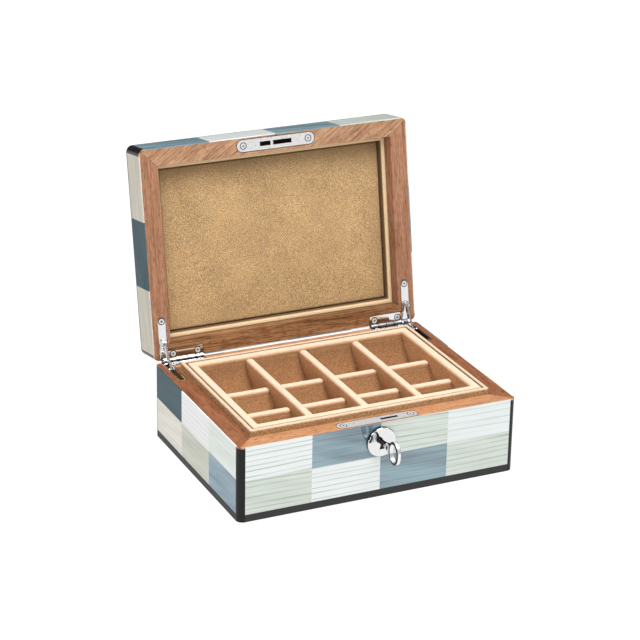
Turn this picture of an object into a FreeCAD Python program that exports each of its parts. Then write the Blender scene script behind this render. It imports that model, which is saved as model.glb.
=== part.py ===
import FreeCAD, Part
import math
import os

from FreeCAD import Vector

# Jewelry case: a veneered box with a hinged lid, standing open, a lift-out tray and a key lock.
# Frame: X to the right seen from the front, Y to the back, Z up. Origin under the middle of the base.
# All lengths in millimetres. The lid is drawn shut and then turned open about the hinge axis.

# --- driving dimensions -------------------------------------------------------
W = 260.0            # outside width
D = 190.0            # outside depth
H = 69.0             # height of the base rim above the ground
T = 31.3             # lid height
GAP = 0.7            # between the rims when shut
LID_OPEN = 100.0      # degrees, the rest pose

FELT = 0.8           # felt sheet under the base
VENEER = 1.0         # veneer tile thickness on the sides
POST = 6.0           # corner post radius
CAP = 1.2            # rim wood over the ends of the posts
BAND_TOP = 7.5       # top of the black edge band
RIM_T = 6.0          # base rim strip thickness
LID_RIM_T = 11.0     # lid rim strip thickness
TOP_T = 1.4          # top veneer and stringing thickness
STRING = 1.4         # stringing width

IN_X, IN_Y = 112.5, 78.0          # inside of the base walls
LID_IN_X, LID_IN_Y = 113.2, 78.9  # inside of the lid walls
LIP = 6.0                         # liner lip above the base rim
LINER = 4.0                       # liner thickness
BOARD = 6.0                       # bottom board thickness
PAD_T = 3.0                       # floor pad thickness
RAIL = 6.0                        # tray rail thickness
RAIL_TOP = 41.3                   # tray rail height

TRAY_GAP = 0.6       # tray to liner
TRAY_WALL = 8.0
TRAY_FLOOR = 3.0
TRAY_BOTTOM = 41.4
TRAY_TOP = 74.8
DIV = 7.5            # divider thickness
LONG_TOP = 73.2      # long divider height
CROSS_TOP = 66.7     # cross divider height
CROSS_Y = (-31.8, 12.8)
SLOPES = ((63.0, 15.0), (63.0, 21.0), (71.5, 23.5))  # sloped cell backs, front to back row: top height and run

LID_PAD_DEPTH = 15.5     # pad surface below the lid rim
LID_BOARD_DEPTH = 24.3   # top board below the lid rim
STRIP = 5.0              # suede strip width in the lid

HINGE_Y = D / 2 + 0.6    # hinge axis
HINGE_Z = H + GAP / 2
KNUCKLE_R = 2.5
PIN_R = 1.0
RUN = 0.04               # running clearance
BARREL = (83.0, 122.3)   # along X on each side
LEAF_T = 1.5
LEAF_Y0, LEAF_Y1 = 85.5, 94.0
LEG_X0, LEG_X1 = 116.6, 123.8
LEG_X = (LEG_X0 + LEG_X1) / 2
BASE_LEG_END = 49.5
LID_LEG_END = 56.0
SLOT_X = (118.1, 122.7)
SLOT_Y = (52.4, 89.6)
SLOT_FLOOR = H - 5.5
LEAF_SCREWS = ((111.3, 90.0), (87.8, 90.0))
INLET = 0.5              # gap round a plate let into the wood
LID_LEG_SCREW = (LEG_X, 59.3)

STAY_A = (78.5, H - 2.5) # stay pivot (y, z) with the lid shut
STAY_L = 24.0            # pivot to foot
STAY_X = (118.75, 120.55)
STAY_R = 2.0
LUG_X = (120.65, 122.05)
STAY_PIN_R = 0.9

LOCK_Y = -87.0           # middle of the lock plates
PLATE_W = 10.6
PLATE_T = 1.8
PLATE_HALF = 37.6
PLATE_SCREW_X = 31.5
CASE_X = (-16.0, 27.0)
CASE_BOTTOM = H - 27.0
CASE_WALL = 1.0
BOLT_SLOT = (3.0, 19.2)
STRIKE_SLOTS = ((-15.5, -5.2), (-2.7, 15.2))
KEY_Z = 52.4             # key axis height
PLUG_R = 4.5
HOOK_P = (20.0, H - 8.0) # hook pivot (x, z)
HOOK_R = (12.0, 15.5)
HOOK_PIN_R = 1.5
ESC_R = 13.2
KEY_R = 1.7
BIT = 3.8

TILE_X = (-63.6, 0.0, 63.6)
TILE_Y = (-30.7, 30.7)
TILE_Z = 38.8

os.makedirs("parts", exist_ok=True)

Z0 = H + GAP             # lid rim plane when shut
CX, CY = W / 2 - VENEER, D / 2 - VENEER   # outside of the core
EX, EY = W / 2 - POST, D / 2 - POST       # inner edge of the corner posts


# --- helpers ------------------------------------------------------------------
def box(x0, x1, y0, y1, z0, z1):
    return Part.makeBox(x1 - x0, y1 - y0, z1 - z0, Vector(x0, y0, z0))


def cyl(r, a, b):
    a, b = Vector(*a), Vector(*b)
    return Part.makeCylinder(r, (b - a).Length, a, b - a)


def prism(points, z0, z1):
    v = [Vector(x, y, z0) for x, y in points]
    return Part.Face(Part.makePolygon(v + [v[0]])).extrude(Vector(0, 0, z1 - z0))


def fuse(shapes):
    s = shapes[0]
    if len(shapes) > 1:
        s = s.multiFuse(shapes[1:])
    return s.removeSplitter()


def cut(shape, tools):
    for t in tools:
        shape = shape.cut(t)
    return shape


def mirrored(shape):
    return shape.mirror(Vector(0, 0, 0), Vector(1, 0, 0))


def both(shape):
    return [shape, mirrored(shape)]


def rounded(hx, hy, r, z0, z1):
    """A plate with rounded corners."""
    s = box(-hx, hx, -hy, hy, z0, z1)
    edges = [e for e in s.Edges if abs(e.Vertexes[0].Z - e.Vertexes[1].Z) > 0.1]
    return s.makeFillet(r, edges)


def ring_boards(ox, oy, ix, iy, z0, z1):
    """Four boards round a rectangle, mitred at the corners: front, back, left, right."""
    return {
        "front": prism([(-ox, -oy), (ox, -oy), (ix, -iy), (-ix, -iy)], z0, z1),
        "back": prism([(-ox, oy), (-ix, iy), (ix, iy), (ox, oy)], z0, z1),
        "left": prism([(-ox, -oy), (-ix, -iy), (-ix, iy), (-ox, oy)], z0, z1),
        "right": prism([(ox, -oy), (ox, oy), (ix, iy), (ix, -iy)], z0, z1),
    }


def corner_squares(z0, z1):
    return [
        box(sx * EX if sx > 0 else -W / 2, W / 2 if sx > 0 else -EX,
            sy * EY if sy > 0 else -D / 2, D / 2 if sy > 0 else -EY, z0, z1)
        for sx in (-1, 1) for sy in (-1, 1)
    ]


def corner_posts(z0, z1):
    out = []
    for sx in (-1, 1):
        for sy in (-1, 1):
            disc = cyl(POST, (sx * EX, sy * EY, z0), (sx * EX, sy * EY, z1))
            x0, x1 = (EX, W / 2) if sx > 0 else (-W / 2, -EX)
            y0, y1 = (EY, D / 2) if sy > 0 else (-D / 2, -EY)
            out.append(disc.common(box(x0, x1, y0, y1, z0, z1)))
    return out


def rim_boards(ix, iy, z0, z1, top):
    """Mitred rim strips between two heights; the outer CAP of them, at the top or the bottom, covers the posts."""
    c0, c1 = (z1 - CAP, z1) if top else (z0, z0 + CAP)
    b0, b1 = (z0, c0) if top else (c1, z1)
    k = 1.1
    body = ring_boards(CX, CY, ix, iy, b0, b1)
    cap = ring_boards(ix + k * (CX - ix), iy + k * (CY - iy), ix, iy, c0, c1)
    outline = rounded(W / 2, D / 2, POST, c0, c1)
    veneer = [box(-EX, EX, -D / 2, -CY, c0, c1), box(-EX, EX, CY, D / 2, c0, c1),
              box(-W / 2, -CX, -EY, EY, c0, c1), box(CX, W / 2, -EY, EY, c0, c1)]
    squares = corner_squares(b0, b1)
    return {s: fuse([cut(body[s], squares), cut(cap[s].common(outline), veneer)]) for s in body}


def solids(shapes):
    out = []
    for s in shapes:
        out += s.Solids
    return out


PIVOT = Vector(0, HINGE_Y, HINGE_Z)


def opened(shape):
    s = shape.copy()
    s.rotate(PIVOT, Vector(1, 0, 0), -LID_OPEN)
    return s


NODES = {}


def keep(name, shapes, lid=False):
    if not isinstance(shapes, (list, tuple)):
        shapes = [shapes]
    got = solids(shapes)
    if lid:
        got = [opened(s) for s in got]
    for s in got:
        assert s.isValid() and s.Volume > 0.05, (name, s.Volume)
    NODES[name] = got


# --- screws -------------------------------------------------------------------
def screw(x, y, z, up, head_r=2.5, shank_r=1.25, length=10.0):
    """A countersunk cross-head screw with its head's face at height z; up = 1 if the face looks up."""
    d = -up
    head = Part.makeCone(head_r, shank_r, head_r - shank_r, Vector(x, y, z), Vector(0, 0, d))
    shank = cyl(shank_r, (x, y, z), (x, y, z + d * length))
    tip = Part.makeCone(shank_r, 0.2, 1.6, Vector(x, y, z + d * length), Vector(0, 0, d))
    s = fuse([head, shank, tip])
    a, b = (z - 0.7, z) if up > 0 else (z, z + 0.7)
    cross = [box(x - 1.4, x + 1.4, y - 0.28, y + 0.28, a, b), box(x - 0.28, x + 0.28, y - 1.4, y + 1.4, a, b)]
    return cut(s, cross)


def screw_hole(x, y, z, up, head_r=2.5, shank_r=1.25, length=10.0):
    d = -up
    c = 0.03
    head = Part.makeCone(head_r + c, shank_r + c, head_r - shank_r, Vector(x, y, z), Vector(0, 0, d))
    shank = cyl(shank_r + c, (x, y, z), (x, y, z + d * (length + 1.8)))
    eased = cyl(head_r + 0.75, (x, y, z), (x, y, z + d * 0.3))
    return fuse([head, shank, eased])


# --- hinges (drawn on the right, mirrored to the left) --------------------------
n_knuckles = 5
step = (BARREL[1] - BARREL[0]) / n_knuckles
spans = [(BARREL[0] + i * step + 0.3, BARREL[0] + (i + 1) * step - 0.3) for i in range(n_knuckles)]
base_spans, lid_spans = spans[0::2], spans[1::2]


def barrel(r, x0, x1):
    return cyl(r, (x0, HINGE_Y, HINGE_Z), (x1, HINGE_Y, HINGE_Z))


def leaf_plate(z0, z1, leg_end, gap=0.0):
    back = box(BARREL[0] - gap, LEG_X1, LEAF_Y0 - gap, LEAF_Y1, z0, z1)
    r = (LEG_X1 - LEG_X0) / 2
    leg = box(LEG_X0 - gap, LEG_X1, leg_end + r, LEAF_Y1, z0, z1)
    nose = cyl(r, (LEG_X, leg_end + r, z0), (LEG_X, leg_end + r, z1))
    if gap:
        nose = fuse([nose, cyl(r + gap, (LEG_X, leg_end + r, z0), (LEG_X, leg_end + r, z1)).common(
            box(0, LEG_X1, 0, LEAF_Y1, z0, z1))])
    return fuse([back, leg, nose])


def leaf(z0, z1, leg_end, own, other, bore):
    parts = [leaf_plate(z0, z1, leg_end)]
    for a, b in own:
        parts += [barrel(KNUCKLE_R, a, b), box(a, b, LEAF_Y1 - 0.5, HINGE_Y, z0, z1)]
    s = fuse(parts)
    for a, b in other:
        s = s.cut(barrel(KNUCKLE_R + 0.4, a - 0.3, b + 0.3))
    return s.cut(barrel(bore, BARREL[0] - 1, BARREL[1] + 1))


base_leaf = leaf(H - LEAF_T, H, BASE_LEG_END, base_spans, lid_spans, PIN_R)
base_leaf = base_leaf.cut(box(SLOT_X[0], SLOT_X[1], SLOT_Y[0], SLOT_Y[1], H - LEAF_T, H))
lid_leaf = leaf(Z0, Z0 + LEAF_T, LID_LEG_END, lid_spans, base_spans, PIN_R + RUN)
lug = fuse([
    box(LUG_X[0], LUG_X[1], STAY_A[0] - 2.2, STAY_A[0] + 2.2, STAY_A[1], Z0 + 0.5),
    cyl(2.2, (LUG_X[0], *STAY_A), (LUG_X[1], *STAY_A)),
])
lid_leaf = fuse([lid_leaf, lug]).cut(cyl(STAY_PIN_R, (LUG_X[0] - 1, *STAY_A), (LUG_X[1] + 1, *STAY_A)))

base_screws, lid_screws, base_screw_holes, lid_screw_holes = [], [], [], []
for x, y in LEAF_SCREWS:
    base_screws.append(screw(x, y, H, 1))
    base_screw_holes.append(screw_hole(x, y, H, 1))
for x, y in LEAF_SCREWS + (LID_LEG_SCREW,):
    lid_screws.append(screw(x, y, Z0, -1, length=8.0))
    lid_screw_holes.append(screw_hole(x, y, Z0, -1, length=8.0))
base_leaf = cut(base_leaf, base_screw_holes)
lid_leaf = cut(lid_leaf, lid_screw_holes)

# what the hinges take out of the wood
base_hinge_cut = [
    leaf_plate(H - LEAF_T, H, BASE_LEG_END, INLET),
    barrel(KNUCKLE_R + 0.4, BARREL[0] - 0.4, BARREL[1] + 0.4),
    box(BARREL[0] - 0.4, BARREL[1] + 0.4, LEAF_Y1 - 0.1, D / 2 + 1, H - LEAF_T - 0.1, H + 1),
    box(SLOT_X[0] - 0.2, SLOT_X[1] + 0.2, SLOT_Y[0] - 0.2, SLOT_Y[1] + 0.2, SLOT_FLOOR, H - LEAF_T),
] + base_screw_holes
lid_hinge_cut = [
    leaf_plate(Z0, Z0 + LEAF_T, LID_LEG_END, INLET),
    barrel(KNUCKLE_R + 0.4, BARREL[0] - 0.4, BARREL[1] + 0.4),
    box(BARREL[0] - 0.4, BARREL[1] + 0.4, LEAF_Y1 - 0.1, D / 2 + 1, Z0 - 1, Z0 + LEAF_T + 0.1),
] + lid_screw_holes
base_hinge_cut += [mirrored(s) for s in base_hinge_cut]
lid_hinge_cut += [mirrored(s) for s in lid_hinge_cut]

# stay arms: the pivot goes round with the lid, the foot stays at the slot's height
phi = math.radians(LID_OPEN)
dy, dz = STAY_A[0] - HINGE_Y, STAY_A[1] - HINGE_Z
A_OPEN = (HINGE_Y + dy * math.cos(phi) + dz * math.sin(phi), HINGE_Z - dy * math.sin(phi) + dz * math.cos(phi))
beta = math.asin((A_OPEN[1] - STAY_A[1]) / STAY_L)
foot = (STAY_A[0] - STAY_L, STAY_A[1])
arm = fuse([
    cyl(STAY_R, (STAY_X[0], *STAY_A), (STAY_X[1], *STAY_A)),
    cyl(STAY_R, (STAY_X[0], *foot), (STAY_X[1], *foot)),
    box(STAY_X[0], STAY_X[1], foot[0], STAY_A[0], STAY_A[1] - STAY_R, STAY_A[1] + STAY_R),
    cyl(1.3, (STAY_X[1] - 0.5, *foot), (LUG_X[1], *foot)),
])
arm = arm.cut(cyl(STAY_PIN_R + RUN, (STAY_X[0] - 1, *STAY_A), (STAY_X[1] + 1, *STAY_A)))
arm.translate(Vector(0, A_OPEN[0] - STAY_A[0], A_OPEN[1] - STAY_A[1]))
arm.rotate(Vector(0, *A_OPEN), Vector(1, 0, 0), math.degrees(beta))
stay_pin = fuse([
    cyl(STAY_PIN_R, (STAY_X[0] - 0.45, *STAY_A), (LUG_X[1], *STAY_A)),
    cyl(1.5, (STAY_X[0] - 0.45, *STAY_A), (STAY_X[0] - 0.05, *STAY_A)),
])

keep("right_hinge_base_leaf", base_leaf)
keep("left_hinge_base_leaf", mirrored(base_leaf))
keep("hinge_base_screws", solids([s for p in base_screws for s in both(p)]))
keep("hinge_pins", both(barrel(PIN_R, BARREL[0] + 0.3, BARREL[1] - 0.3)))
keep("right_hinge_lid_leaf", lid_leaf, lid=True)
keep("left_hinge_lid_leaf", mirrored(lid_leaf), lid=True)
keep("hinge_lid_screws", [s for p in lid_screws for s in both(p)], lid=True)
keep("stay_pivot_pins", both(stay_pin), lid=True)
keep("right_stay_arm", arm)
keep("left_stay_arm", mirrored(arm))

# --- lock ---------------------------------------------------------------------
PY0, PY1 = LOCK_Y - PLATE_W / 2, LOCK_Y + PLATE_W / 2


def lock_plate(z0, z1, slots, slot_w, face_z, up):
    def outline(gap):
        r = PLATE_W / 2 + gap
        e = PLATE_HALF - PLATE_W / 2
        return fuse([
            box(-e, e, LOCK_Y - r, LOCK_Y + r, z0, z1),
            cyl(r, (-e, LOCK_Y, z0), (-e, LOCK_Y, z1)),
            cyl(r, (e, LOCK_Y, z0), (e, LOCK_Y, z1)),
        ])

    s = outline(0.0)
    blank = outline(INLET)
    for a, b in slots:
        s = s.cut(box(a, b, LOCK_Y - slot_w / 2, LOCK_Y + slot_w / 2, z0, z1))
    for x in (-PLATE_SCREW_X, PLATE_SCREW_X):
        s = s.cut(screw_hole(x, LOCK_Y, face_z, up, length=8.0))
    return s, blank


faceplate, faceplate_blank = lock_plate(H - PLATE_T, H, (BOLT_SLOT,), 3.0, H, 1)
strike, strike_blank = lock_plate(Z0, Z0 + PLATE_T, STRIKE_SLOTS, 4.0, Z0, -1)
face_screws = [screw(x, LOCK_Y, H, 1, length=8.0) for x in (-PLATE_SCREW_X, PLATE_SCREW_X)]
strike_screws = [screw(x, LOCK_Y, Z0, -1, length=8.0) for x in (-PLATE_SCREW_X, PLATE_SCREW_X)]

case_outer = box(CASE_X[0], CASE_X[1], PY0, PY1, CASE_BOTTOM, H - PLATE_T)
case = case_outer.cut(box(CASE_X[0] + CASE_WALL, CASE_X[1] - CASE_WALL, PY0 + CASE_WALL, PY1 - CASE_WALL,
                          CASE_BOTTOM + CASE_WALL, H - PLATE_T))
case = cut(case, [
    cyl(PLUG_R + RUN, (0, PY0 - 1, KEY_Z), (0, PY0 + CASE_WALL, KEY_Z)),
    cyl(2.0 + RUN, (0, PY1 - CASE_WALL, KEY_Z), (0, PY1 + 1, KEY_Z)),
    cyl(HOOK_PIN_R, (HOOK_P[0], PY0 - 1, HOOK_P[1]), (HOOK_P[0], PY1 + 1, HOOK_P[1])),
])
hook_pin = cyl(HOOK_PIN_R, (HOOK_P[0], PY0, HOOK_P[1]), (HOOK_P[0], PY1, HOOK_P[1]))


def sector(r0, r1, a0, a1, y0, y1):
    """Part of a ring about the hook pivot, from angle a0 to a1 counted from +X towards +Z."""
    def at(r, a):
        return Vector(HOOK_P[0] + r * math.cos(math.radians(a)), y0, HOOK_P[1] + r * math.sin(math.radians(a)))

    m = (a0 + a1) / 2
    edges = [Part.Arc(at(r1, a0), at(r1, m), at(r1, a1)).toShape(), Part.makeLine(at(r1, a1), at(r0, a1)),
             Part.Arc(at(r0, a1), at(r0, m), at(r0, a0)).toShape(), Part.makeLine(at(r0, a0), at(r1, a0))]
    return Part.Face(Part.Wire(edges)).extrude(Vector(0, y1 - y0, 0))


HY0, HY1 = LOCK_Y - 1.1, LOCK_Y + 1.1
hook = fuse([
    sector(HOOK_R[0], HOOK_R[1], 160.0, 236.0, HY0, HY1),
    sector(3.0, HOOK_R[0] + 0.5, 206.0, 236.0, HY0, HY1),
    cyl(4.2, (HOOK_P[0], HY0, HOOK_P[1]), (HOOK_P[0], HY1, HOOK_P[1])),
]).cut(cyl(HOOK_PIN_R + RUN, (HOOK_P[0], PY0, HOOK_P[1]), (HOOK_P[0], PY1, HOOK_P[1])))

KEY_TIP = PY1 - CASE_WALL - 2.6
plug = fuse([
    cyl(PLUG_R, (0, PY0, KEY_Z), (0, PY1 - CASE_WALL - 0.3, KEY_Z)),
    cyl(5.6, (0, PY0 + CASE_WALL + 0.2, KEY_Z), (0, PY0 + CASE_WALL + 1.2, KEY_Z)),
    cyl(2.0, (0, PY1 - CASE_WALL - 0.5, KEY_Z), (0, PY1, KEY_Z)),
])
BIT_Y = (PY0 + 1.0, KEY_TIP - 0.6)
plug = cut(plug, [
    cyl(KEY_R + 0.12, (0, PY0 - 1, KEY_Z), (0, KEY_TIP + 0.3, KEY_Z)),
    box(-1.0, 1.0, PY0 - 1, BIT_Y[1] + 0.3, KEY_Z - BIT - 0.2, KEY_Z),
])

# key: shaft with a thicker shank outside, bit, round lug and an oval band as its bow, all in the Y-Z plane
BOW_Y = -D / 2 - 26.0
BOW = (10.4, 8.6)        # outer half height and half length of the bow
BOW_T, BOW_W = 2.3, 3.4
ESC_T = 2.5


def oval(a, b, x0, x1):
    """An upright oval plate about the middle of the bow."""
    s = Part.Face(Part.Wire(Part.Ellipse(Vector(0, 0, 0), a, b).toShape())).extrude(Vector(0, 0, x1 - x0))
    s.rotate(Vector(0, 0, 0), Vector(0, 1, 0), 90)
    s.translate(Vector(x0, BOW_Y, KEY_Z))
    return s


bow = oval(BOW[0], BOW[1], -BOW_W / 2, BOW_W / 2).cut(oval(BOW[0] - BOW_T, BOW[1] - BOW_T, -BOW_W / 2 - 1, BOW_W / 2 + 1))
bow = bow.makeFillet(0.45, [e for e in bow.Edges if isinstance(e.Curve, Part.Ellipse)])
LUG_Y = -D / 2 - 13.8
lug_plate = cyl(4.2, (-1.2, LUG_Y, KEY_Z), (1.2, LUG_Y, KEY_Z))
lug_plate = lug_plate.makeFillet(0.4, lug_plate.Edges[0:1] + lug_plate.Edges[2:3])
key = fuse([bow, lug_plate,
    cyl(KEY_R, (0, LUG_Y, KEY_Z), (0, KEY_TIP, KEY_Z)),
    cyl(2.3, (0, LUG_Y, KEY_Z), (0, -D / 2 - ESC_T - 0.5, KEY_Z)),
    cyl(2.75, (0, -D / 2 - ESC_T - 5.6, KEY_Z), (0, -D / 2 - ESC_T - 4.2, KEY_Z)),
    box(-0.8, 0.8, BIT_Y[0], BIT_Y[1], KEY_Z - BIT, KEY_Z),
])

# escutcheon: a flat disc with an eased edge, a keyhole and a short liner tube
y = -D / 2
disc = cyl(ESC_R, (0, y, KEY_Z), (0, y - ESC_T, KEY_Z))
disc = disc.makeChamfer(0.45, [e for e in disc.Edges if isinstance(e.Curve, Part.Circle) and e.BoundBox.YMax < y - 0.1])
flare = prism([(-1.0, 0), (1.0, 0), (2.3, -6.3), (-2.3, -6.3)], 0, 8)
flare.rotate(Vector(0, 0, 0), Vector(1, 0, 0), 90)
flare.translate(Vector(0, y + 4, KEY_Z))
tube = cyl(4.75, (0, y, KEY_Z), (0, y + 2.5, KEY_Z))
escutcheon = cut(fuse([disc, tube]), [cyl(2.2, (0, y - 5, KEY_Z), (0, y + 5, KEY_Z)), flare])

front_lock_cut = [
    faceplate_blank,
    box(CASE_X[0] - 0.1, CASE_X[1] + 0.1, PY0 - 0.1, PY1 + 0.1, CASE_BOTTOM - 0.1, H - PLATE_T),
    cyl(4.8, (0, -D / 2 - 1, KEY_Z), (0, PY0, KEY_Z)),
    flare,
] + [screw_hole(x, LOCK_Y, H, 1, length=8.0) for x in (-PLATE_SCREW_X, PLATE_SCREW_X)]
front_strike_cut = [
    strike_blank,
    box(-18.0, 23.0, LOCK_Y - 2.3, LOCK_Y + 2.3, Z0, Z0 + 9.5),
] + [screw_hole(x, LOCK_Y, Z0, -1, length=8.0) for x in (-PLATE_SCREW_X, PLATE_SCREW_X)]

keep("lock_faceplate", faceplate)
keep("lock_faceplate_screws", face_screws)
keep("lock_case", case)
keep("hook_pivot_pin", hook_pin)
keep("hook_bolt", hook)
keep("lock_plug", plug)
keep("key", key)
keep("escutcheon", escutcheon)
keep("strike_plate", strike, lid=True)
keep("strike_screws", strike_screws, lid=True)

# --- base box -----------------------------------------------------------------
walls = ring_boards(CX, CY, IN_X, IN_Y, FELT, H - RIM_T)
rims = rim_boards(IN_X, IN_Y, H - RIM_T, H, True)
posts_cut = corner_squares(0, H)
rabbet = box(-IN_X - 5, IN_X + 5, -IN_Y - 5, IN_Y + 5, FELT, FELT + BOARD)
for side in ("front", "back", "left", "right"):
    tools = posts_cut + [rabbet]
    rim_tools = []
    if side == "front":
        tools += front_lock_cut
        rim_tools += front_lock_cut
    else:
        tools += base_hinge_cut
        rim_tools += base_hinge_cut
    keep("base_%s_wall" % side, cut(walls[side], tools))
    rims[side] = cut(rims[side], rim_tools)
keep("base_rim", [rims[s] for s in ("front", "back", "left", "right")])
keep("base_corner_posts", corner_posts(FELT, H - CAP))
keep("base_edge_band", [
    box(-EX, EX, -D / 2, -CY, FELT, BAND_TOP), box(-EX, EX, CY, D / 2, FELT, BAND_TOP),
    box(-W / 2, -CX, -EY, EY, FELT, BAND_TOP), box(CX, W / 2, -EY, EY, FELT, BAND_TOP),
])
keep("base_bottom_board", box(-IN_X - 5, IN_X + 5, -IN_Y - 5, IN_Y + 5, FELT, FELT + BOARD))
keep("underside_felt", box(-EX, EX, -EY, EY, 0, FELT))


def tiles_x(y0, y1, rows, tools):
    """Tiles on a front or back face."""
    xs = (-EX,) + TILE_X + (EX,)
    return [cut(box(a, b, y0, y1, c, d), tools) for a, b in zip(xs, xs[1:]) for c, d in zip(rows, rows[1:])]


def tiles_y(x0, x1, rows, tools):
    """Tiles on a side face."""
    ys = (-EY,) + TILE_Y + (EY,)
    return [cut(box(x0, x1, a, b, c, d), tools) for a, b in zip(ys, ys[1:]) for c, d in zip(rows, rows[1:])]


rows = (BAND_TOP, TILE_Z, H)
keep("base_front_veneer", tiles_x(-D / 2, -CY, rows, [cyl(4.8, (0, -D / 2 - 1, KEY_Z), (0, -CY + 1, KEY_Z)), flare]))
keep("base_back_veneer", tiles_x(CY, D / 2, rows, base_hinge_cut))
keep("base_left_veneer", tiles_y(-W / 2, -CX, rows, []))
keep("base_right_veneer", tiles_y(CX, W / 2, rows, []))

FLOOR = FELT + BOARD
liner = ring_boards(IN_X, IN_Y, IN_X - LINER, IN_Y - LINER, FLOOR, H + LIP)
keep("base_liner", [liner[s] for s in ("front", "back", "left", "right")])
LX, LY = IN_X - LINER, IN_Y - LINER
keep("tray_rails", both(box(LX - RAIL, LX, -LY, LY, FLOOR, RAIL_TOP)))
keep("floor_pad", box(-LX + RAIL, LX - RAIL, -LY, LY, FLOOR, FLOOR + PAD_T))

# --- tray ---------------------------------------------------------------------
TX, TY = LX - TRAY_GAP, LY - TRAY_GAP
tx, ty = TX - TRAY_WALL, TY - TRAY_WALL
tray = ring_boards(TX, TY, tx, ty, TRAY_BOTTOM, TRAY_TOP)
for side in ("front", "back", "left", "right"):
    keep("tray_%s_wall" % side, tray[side])
keep("tray_floor", box(-tx, tx, -ty, ty, TRAY_BOTTOM, TRAY_BOTTOM + TRAY_FLOOR))
cell = (2 * tx - 3 * DIV) / 4
cols = [(-tx + i * (cell + DIV), -tx + i * (cell + DIV) + cell) for i in range(4)]
TF = TRAY_BOTTOM + TRAY_FLOOR
keep("tray_long_dividers", [box(cols[i][1], cols[i + 1][0], -ty, ty, TF, LONG_TOP) for i in range(3)])
keep("tray_cross_dividers", [box(a, b, c - DIV / 2, c + DIV / 2, TF, CROSS_TOP) for a, b in cols for c in CROSS_Y])


def wedge(x0, x1, y, top, run):
    v = [Vector(x0, y, TF), Vector(x0, y, top), Vector(x0, y - run, TF)]
    return Part.Face(Part.makePolygon(v + [v[0]])).extrude(Vector(x1 - x0, 0, 0))


backs = (CROSS_Y[0] - DIV / 2, CROSS_Y[1] - DIV / 2, ty)
keep("tray_cell_slopes", [wedge(a, b, y, *slope) for a, b in cols for y, slope in zip(backs, SLOPES)])

# --- lid ----------------------------------------------------------------------
ZB = Z0 + LID_BOARD_DEPTH
ZT = Z0 + T
lid_walls = ring_boards(CX, CY, LID_IN_X, LID_IN_Y, Z0 + LID_RIM_T, ZB)
lid_rims = rim_boards(LID_IN_X, LID_IN_Y, Z0, Z0 + LID_RIM_T, False)
lid_posts_cut = corner_squares(Z0, ZT)
for side in ("front", "back", "left", "right"):
    keep("lid_%s_wall" % side, cut(lid_walls[side], lid_posts_cut), lid=True)
    lid_rims[side] = cut(lid_rims[side], front_strike_cut if side == "front" else lid_hinge_cut)
keep("lid_rim", [lid_rims[s] for s in ("front", "back", "left", "right")], lid=True)
keep("lid_top_board", cut(box(-CX, CX, -CY, CY, ZB, ZT - TOP_T), lid_posts_cut), lid=True)
keep("lid_corner_posts", corner_posts(Z0 + CAP, ZT - TOP_T), lid=True)
top_inner = rounded(W / 2 - STRING, D / 2 - STRING, POST - STRING, ZT - TOP_T, ZT)
keep("lid_edge_stringing", rounded(W / 2, D / 2, POST, ZT - TOP_T, ZT).cut(top_inner), lid=True)
xs = (-W / 2,) + TILE_X + (W / 2,)
ys = (-D / 2,) + TILE_Y + (D / 2,)
keep("lid_top_veneer", [top_inner.common(box(a, b, c, d, ZT - TOP_T, ZT))
                        for a, b in zip(xs, xs[1:]) for c, d in zip(ys, ys[1:])], lid=True)
lid_rows = (Z0, ZT - TOP_T)
keep("lid_front_veneer", tiles_x(-D / 2, -CY, lid_rows, []), lid=True)
keep("lid_back_veneer", tiles_x(CY, D / 2, lid_rows, lid_hinge_cut), lid=True)
keep("lid_left_veneer", tiles_y(-W / 2, -CX, lid_rows, []), lid=True)
keep("lid_right_veneer", tiles_y(CX, W / 2, lid_rows, []), lid=True)
strips = ring_boards(LID_IN_X, LID_IN_Y, LID_IN_X - STRIP, LID_IN_Y - STRIP, Z0 + LID_RIM_T, ZB)
keep("lid_suede_strips", [strips[s] for s in ("front", "back", "left", "right")], lid=True)
sx, sy = LID_IN_X - STRIP - 0.4, LID_IN_Y - STRIP - 0.4
keep("lid_pad", box(-sx, sx, -sy, sy, Z0 + LID_PAD_DEPTH, ZB), lid=True)

# --- write --------------------------------------------------------------------
for name, got in sorted(NODES.items()):
    shape = got[0] if len(got) == 1 else Part.makeCompound(got)
    shape.exportStep("parts/%s.step" % name)

print("nodes", len(NODES), "solids", sum(len(v) for v in NODES.values()))
print("hinge axis y z", HINGE_Y, HINGE_Z)
print("stay pivot open y z", A_OPEN, "beta", math.degrees(beta), "turn", math.degrees(beta) + LID_OPEN,
      "ratio", -(math.degrees(beta) + LID_OPEN) / LID_OPEN)
print("foot open y", A_OPEN[0] - STAY_L * math.cos(beta), "foot shut y", foot[0])
print("columns", cols, "tray inside", tx, ty)
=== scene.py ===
import math

import bmesh
import bpy
from mathutils import Matrix, Vector, noise


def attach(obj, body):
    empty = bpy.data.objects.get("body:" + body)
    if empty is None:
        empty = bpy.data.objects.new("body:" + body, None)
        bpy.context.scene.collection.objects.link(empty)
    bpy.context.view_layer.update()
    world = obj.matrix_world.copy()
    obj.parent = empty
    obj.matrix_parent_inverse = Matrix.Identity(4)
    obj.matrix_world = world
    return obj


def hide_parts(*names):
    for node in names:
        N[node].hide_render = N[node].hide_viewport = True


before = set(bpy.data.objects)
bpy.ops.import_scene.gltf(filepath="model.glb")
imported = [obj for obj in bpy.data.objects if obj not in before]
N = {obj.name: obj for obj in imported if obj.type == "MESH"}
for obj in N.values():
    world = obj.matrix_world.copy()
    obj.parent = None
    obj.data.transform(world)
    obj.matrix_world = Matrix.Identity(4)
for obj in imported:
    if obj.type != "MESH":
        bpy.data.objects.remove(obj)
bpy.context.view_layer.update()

MM = 0.001

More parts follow.
